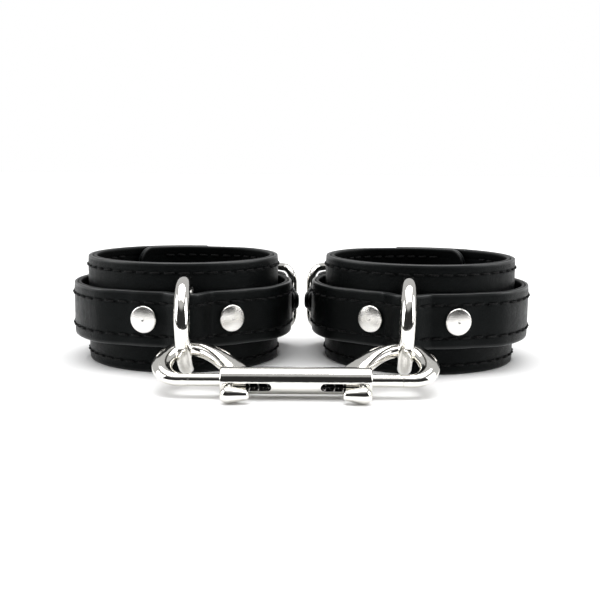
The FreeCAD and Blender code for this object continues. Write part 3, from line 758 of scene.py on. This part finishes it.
looks = {
    "band_leather": leather("band_leather", (0.0016, 0.0019, 0.0020), (0.0026, 0.0031, 0.0032),
                            rough=0.40, grain=0.045, shine=0.07),
    "strap_leather": leather("strap_leather", (0.0017, 0.0020, 0.0021), (0.0028, 0.0033, 0.0034),
                             rough=0.36, grain=0.04, shine=0.085),
    # painted shade: the lining's black is set darker than the band's for the shade inside the band
    # and behind the strap; its roughness and low shine are the lining's own
    "lining_leather": leather("lining_leather", (0.0009, 0.0011, 0.0011), (0.0014, 0.0017, 0.0017),
                              rough=0.55, grain=0.06, shine=0.03),
    "thread": thread("thread", (0.0012, 0.0014, 0.0015), (0.0060, 0.0064, 0.0066)),
    # painted shade: a darker copy of the thread for the stitches inside the band, which lie in
    # shade
    "shaded_lining_thread": thread("shaded_lining_thread", (0.0008, 0.0009, 0.0010), (0.0020, 0.0022, 0.0023)),
    "plated_wire": metal("plated_wire", (0.84, 0.825, 0.785), 0.06),
    "plated_casting": metal("plated_casting", NICKEL, 0.05),
    "casting_with_shaded_bore": metal("casting_with_shaded_bore", NICKEL, 0.05, shade_bore=True),
    "rivet_plate": metal("rivet_plate", (0.83, 0.815, 0.785), 0.20, 0.012, (1, 1, 8)),
    "spring_steel": metal("spring_steel", (0.55, 0.55, 0.56), 0.22, 0.003),
}


# ---------------------------------------------------------------- the pieces


def dress(thing, material, body, slot, *nodes):
    """Give a piece its material and its body, and hide the CAD nodes it stands for."""
    thing.data.materials.clear()
    thing.data.materials.append(material)
    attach(thing, body)
    if nodes:
        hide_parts(*nodes)


def plate_hardware():
    """The CAD meshes that stay get their materials."""
    for node in frame["record"]["subparts"]:
        thing = frame["nodes"][node["node"]]
        thing.data.materials.clear()
        thing.data.materials.append(looks[node["material_slot"]])
    # the snap's body takes the casting whose bore is painted near black as painted shade
    frame["nodes"]["snap_body"].data.materials[0] = looks["casting_with_shaded_bore"]


def make_band(word, side):
    """The band's two layers and the stitches on both faces."""
    cuff = f"{word}_cuff"
    line, ends = band_points(), ("square", "round")
    inner = BAND_FACE + LAYER_GAP
    face = Strip(line, 0, BAND_FACE, 0, BAND_HEIGHT, side, BAND_SEAM, ends)
    lining = Strip(line, inner, inner + BAND_LINING, 0, BAND_HEIGHT, side, BAND_SEAM, ends)
    sewn = (BAND_SEWN_FROM, face.length - BAND_SEWN_SHORT)
    piece = make_strip(f"{word}_band_face", face, BAND_BEVEL, True, sewn)
    dress(piece, looks["band_leather"], cuff, "band_leather", f"{word}_band_outer")
    piece = make_strip(f"{word}_band_inside", lining, LINING_BEVEL, False, sewn)
    dress(piece, looks["lining_leather"], cuff, "lining_leather", f"{word}_band_lining")
    seen = (BAND_SEWN_FROM, face.length - BAND_SEWN_OVERLAP)
    piece = make_stitches(f"{word}_band_stitches", face, True, seen)
    dress(piece, looks["thread"], cuff, "thread")
    seen = (BAND_SEWN_FROM + BAND_INSIDE_SKIP, sewn[1])
    piece = make_stitches(f"{word}_band_inside_stitches", lining, False, seen)
    dress(piece, looks["shaded_lining_thread"], cuff, "thread")


def make_strap(word, side):
    """The strap's face and back, with their holes, and the stitches on the face."""
    cuff, half = f"{word}_cuff", STRAP_LAYER / 2
    tail, ends = tail_points(side)[1:], ("square", "point")
    middle_line = np.array(short_points(0.0, side) + tail)
    face_line = np.concatenate([fold_points(), shifted(middle_line, half)[1:]])
    back_line = shifted(short_points(4.0, side) + tail, -half - LAYER_GAP)
    bottom = STRAP_MIDDLE - STRAP_WIDTH / 2
    face = Strip(face_line, -half, half, bottom, STRAP_WIDTH, side, STRAP_SEAM, ends)
    back = Strip(back_line, -half, half, bottom, STRAP_WIDTH, side, STRAP_SEAM, ends)
    sewn = (STRAP_SEWN_FROM, face.length - STRAP_SEWN_SHORT)
    piece = make_strip(f"{word}_strap_face", face, STRAP_BEVEL, False, sewn)
    punch_strap(piece, side)
    dress(piece, looks["strap_leather"], cuff, "strap_leather", f"{word}_strap_outer")
    sewn_back = (back.length - (face.length - sewn[0]), back.length - STRAP_SEWN_SHORT)
    piece = make_strip(f"{word}_strap_back", back, STRAP_BEVEL, True, sewn_back)
    punch_strap(piece, side)
    dress(piece, looks["lining_leather"], cuff, "lining_leather", f"{word}_strap_lining")
    piece = make_stitches(f"{word}_strap_stitches", face, False, sewn)
    dress(piece, looks["thread"], cuff, "thread")


# ---------------------------------------------------------------- the studio


def studio_floor():
    """A wide pale floor that brightens to plain white away from the object."""
    wide = FLOOR_HALF / MM
    points = [(-wide, -wide, 0), (wide, -wide, 0), (wide, wide, 0), (-wide, wide, 0)]
    floor = mesh_object("studio_floor", points, [(0, 1, 2, 3)])
    floor.location.z = -FLOOR_DROP
    look = Look("studio_paper", Roughness=0.85, Specular_IOR_Level=0.15,
                Emission_Color=(1, 1, 1, 1))
    look.shade("Base Color", look.mix(look.remap(look.noise(90.0, 2.0), 0.3, 0.7, 0, 1),
                                      (0.90, 0.90, 0.90), (0.92, 0.92, 0.92)))
    away = look.tree.nodes.new("ShaderNodeVectorMath")
    away.operation = "LENGTH"
    look.feed(away.inputs["Vector"], look.coords)
    glow = look.remap(away.outputs["Value"], GLOW_FROM, GLOW_FULL, 0.0, 1.0)
    look.shade("Emission Strength", glow)
    floor.data.materials.append(look.material)


def soft_light(name, place, target, size, power):
    """A rectangular lamp turned to face a target."""
    lamp = bpy.data.lights.new(name, "AREA")
    lamp.shape = "RECTANGLE"
    lamp.size, lamp.size_y = size
    lamp.energy = power
    thing = bpy.data.objects.new(name, lamp)
    bpy.context.scene.collection.objects.link(thing)
    thing.location = place
    aim = Vector(target) - Vector(place)
    thing.rotation_mode = "QUATERNION"
    thing.rotation_quaternion = aim.to_track_quat("-Z", "Y")


def studio_world():
    """A room that is pale overhead and behind the object, and dark low down in front of it."""
    world = bpy.data.worlds.new("studio")
    world.use_nodes = True
    sky = Nodes(world.node_tree)
    towards = sky.tree.nodes.new("ShaderNodeTexCoord").outputs["Generated"]
    split = sky.node("ShaderNodeSeparateXYZ", Vector=towards)
    overhead = sky.remap(split.outputs["Z"], 0.62, 0.86, 0.0, 1.0, "SMOOTHSTEP")
    behind = sky.remap(split.outputs["Y"], -0.35, 0.35, 0.0, 1.0, "SMOOTHSTEP")
    pale = sky.combine("MAXIMUM", overhead, behind)
    room = sky.remap(pale, 0.0, 1.0, 0.03, 0.55, "SMOOTHSTEP")
    seen = sky.tree.nodes.new("ShaderNodeLightPath").outputs["Is Camera Ray"]
    background = sky.tree.nodes["Background"]
    background.inputs["Color"].default_value = (1, 1, 1, 1)
    sky.feed(background.inputs["Strength"], sky.combine("MAXIMUM", room, seen))
    bpy.context.scene.world = world


def place_camera():
    camera = bpy.data.objects.new("camera", bpy.data.cameras.new("camera"))
    bpy.context.scene.collection.objects.link(camera)
    camera.data.lens, camera.data.sensor_width = CAMERA_LENS, CAMERA_SENSOR
    camera.data.clip_start, camera.data.clip_end = 0.01, 20
    camera.location = Vector(CAMERA_PLACE) * MM
    camera.rotation_mode = "QUATERNION"
    turn = Matrix.Rotation(math.radians(CAMERA_HEADING), 3, "Z")
    tilt = Matrix.Rotation(math.radians(90 - CAMERA_PITCH), 3, "X")
    roll = Matrix.Rotation(math.radians(CAMERA_ROLL), 3, "Z")
    camera.rotation_quaternion = (turn @ tilt @ roll).to_quaternion()
    bpy.context.scene.camera = camera


plate_hardware()
for word, side in SIDES.items():
    make_band(word, side)
    make_strap(word, side)

studio_floor()
studio_world()
soft_light("overhead", (0, 0.1, 1.3), (0, 0, 0), (1.6, 1.2), 22)
soft_light("left_box", (-1.3, -0.1, 0.6), (0, 0, 0.02), (0.9, 0.9), 10)
soft_light("right_box", (1.3, -0.1, 0.6), (0, 0, 0.02), (0.9, 0.9), 10)
place_camera()
bpy.context.scene.view_settings.view_transform = "Standard"
